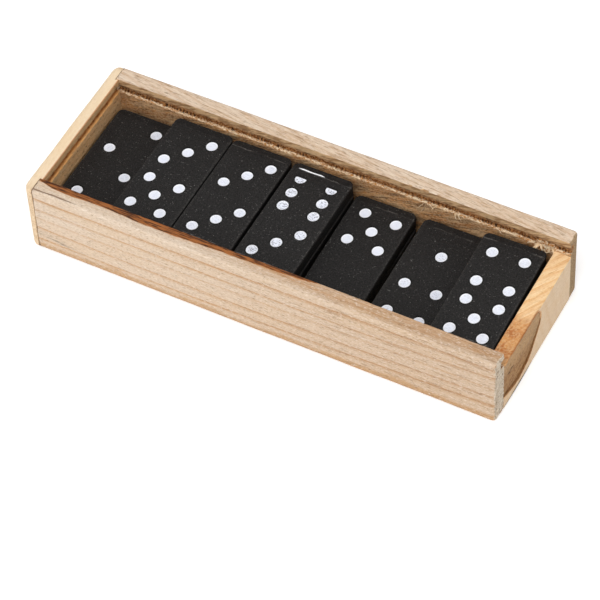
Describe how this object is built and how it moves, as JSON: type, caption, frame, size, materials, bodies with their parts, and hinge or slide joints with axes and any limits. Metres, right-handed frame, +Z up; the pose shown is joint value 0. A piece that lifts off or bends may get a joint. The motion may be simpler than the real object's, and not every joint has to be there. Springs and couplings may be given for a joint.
{
  "type": "domino storage box",
  "caption": "Long grooved wooden box, open at the top for a slide-in lid, holding stacks of black dominoes with white recessed pips.",
  "frame": {"origin": "centre of the box's underside", "axes": "+X along the box towards its low, open-grooved end, +Y towards the back wall, +Z up"},
  "size_m": [0.148, 0.0534, 0.0246],
  "materials": {
    "box_wood": "unfinished pale softwood, sawn and sanded",
    "end_wood": "unfinished pale yellow softwood, sawn and sanded",
    "base_wood": "unfinished thin board",
    "tile_paint": "satin black paint on wood, with white painted pips"
  },
  "bodies": {
    "tray": {"front_wall": "box_wood", "back_wall": "box_wood", "left_end": "end_wood", "right_end": "end_wood", "base_board": "base_wood"},
    "tile_0_0": {"domino_0_0": "tile_paint"},
    "tile_1_3": {"domino_1_3": "tile_paint"},
    "tile_2_2": {"domino_2_2": "tile_paint"},
    "tile_4_6": {"domino_4_6": "tile_paint"},
    "tile_0_2": {"domino_0_2": "tile_paint"},
    "tile_5_5": {"domino_5_5": "tile_paint"},
    "tile_3_5": {"domino_3_5": "tile_paint"},
    "tile_1_1": {"domino_1_1": "tile_paint"},
    "tile_3_4": {"domino_3_4": "tile_paint"},
    "tile_2_6": {"domino_2_6": "tile_paint"},
    "tile_3_3": {"domino_3_3": "tile_paint"},
    "tile_0_4": {"domino_0_4": "tile_paint"},
    "tile_1_5": {"domino_1_5": "tile_paint"},
    "tile_6_6": {"domino_6_6": "tile_paint"},
    "tile_6_3": {"domino_6_3": "tile_paint"},
    "tile_2_3": {"domino_2_3": "tile_paint"},
    "tile_0_1": {"domino_0_1": "tile_paint"},
    "tile_5_0": {"domino_5_0": "tile_paint"},
    "tile_4_4": {"domino_4_4": "tile_paint"},
    "tile_1_6": {"domino_1_6": "tile_paint"},
    "tile_1_4": {"domino_1_4": "tile_paint"},
    "tile_0_3": {"domino_0_3": "tile_paint"},
    "tile_2_5": {"domino_2_5": "tile_paint"},
    "tile_1_2": {"domino_1_2": "tile_paint"},
    "tile_4_5": {"domino_4_5": "tile_paint"}
  },
  "joints": [
    {"name": "lift_0_0", "type": "slide", "parent": "tray", "child": "tile_0_0", "axis": [0, 0, 1], "range_m": [0, 0.03]},
    {"name": "lift_1_3", "type": "slide", "parent": "tile_0_0", "child": "tile_1_3", "axis": [0, 0, 1], "range_m": [0, 0.03]},
    {"name": "lift_2_2", "type": "slide", "parent": "tile_1_3", "child": "tile_2_2", "axis": [0, 0, 1], "range_m": [0, 0.03]},
    {"name": "lift_4_6", "type": "slide", "parent": "tray", "child": "tile_4_6", "axis": [0, 0, 1], "range_m": [0, 0.03]},
    {"name": "lift_0_2", "type": "slide", "parent": "tile_4_6", "child": "tile_0_2", "axis": [0, 0, 1], "range_m": [0, 0.03]},
    {"name": "lift_5_5", "type": "slide", "parent": "tile_0_2", "child": "tile_5_5", "axis": [0, 0, 1], "range_m": [0, 0.03]},
    {"name": "lift_3_5", "type": "slide", "parent": "tile_5_5", "child": "tile_3_5", "axis": [0, 0, 1], "range_m": [0, 0.03]},
    {"name": "lift_1_1", "type": "slide", "parent": "tray", "child": "tile_1_1", "axis": [0, 0, 1], "range_m": [0, 0.03]},
    {"name": "lift_3_4", "type": "slide", "parent": "tile_1_1", "child": "tile_3_4", "axis": [0, 0, 1], "range_m": [0, 0.03]},
    {"name": "lift_2_6", "type": "slide", "parent": "tile_3_4", "child": "tile_2_6", "axis": [0, 0, 1], "range_m": [0, 0.03]},
    {"name": "lift_3_3", "type": "slide", "parent": "tile_2_6", "child": "tile_3_3", "axis": [0, 0, 1], "range_m": [0, 0.03]},
    {"name": "lift_0_4", "type": "slide", "parent": "tray", "child": "tile_0_4", "axis": [0, 0, 1], "range_m": [0, 0.03]},
    {"name": "lift_1_5", "type": "slide", "parent": "tile_0_4", "child": "tile_1_5", "axis": [0, 0, 1], "range_m": [0, 0.03]},
    {"name": "lift_6_6", "type": "slide", "parent": "tile_1_5", "child": "tile_6_6", "axis": [0, 0, 1], "range_m": [0, 0.03]},
    {"name": "lift_6_3", "type": "slide", "parent": "tile_6_6", "child": "tile_6_3", "axis": [0, 0, 1], "range_m": [0, 0.03]},
    {"name": "lift_2_3", "type": "slide", "parent": "tray", "child": "tile_2_3", "axis": [0, 0, 1], "range_m": [0, 0.03]},
    {"name": "lift_0_1", "type": "slide", "parent": "tile_2_3", "child": "tile_0_1", "axis": [0, 0, 1], "range_m": [0, 0.03]},
    {"name": "lift_5_0", "type": "slide", "parent": "tile_0_1", "child": "tile_5_0", "axis": [0, 0, 1], "range_m": [0, 0.03]},
    {"name": "lift_4_4", "type": "slide", "parent": "tray", "child": "tile_4_4", "axis": [0, 0, 1], "range_m": [0, 0.03]},
    {"name": "lift_1_6", "type": "slide", "parent": "tile_4_4", "child": "tile_1_6", "axis": [0, 0, 1], "range_m": [0, 0.03]},
    {"name": "lift_1_4", "type": "slide", "parent": "tile_1_6", "child": "tile_1_4", "axis": [0, 0, 1], "range_m": [0, 0.03]},
    {"name": "lift_0_3", "type": "slide", "parent": "tray", "child": "tile_0_3", "axis": [0, 0, 1], "range_m": [0, 0.03]},
    {"name": "lift_2_5", "type": "slide", "parent": "tile_0_3", "child": "tile_2_5", "axis": [0, 0, 1], "range_m": [0, 0.03]},
    {"name": "lift_1_2", "type": "slide", "parent": "tile_2_5", "child": "tile_1_2", "axis": [0, 0, 1], "range_m": [0, 0.03]},
    {"name": "lift_4_5", "type": "slide", "parent": "tile_1_2", "child": "tile_4_5", "axis": [0, 0, 1], "range_m": [0, 0.03]}
  ]
}
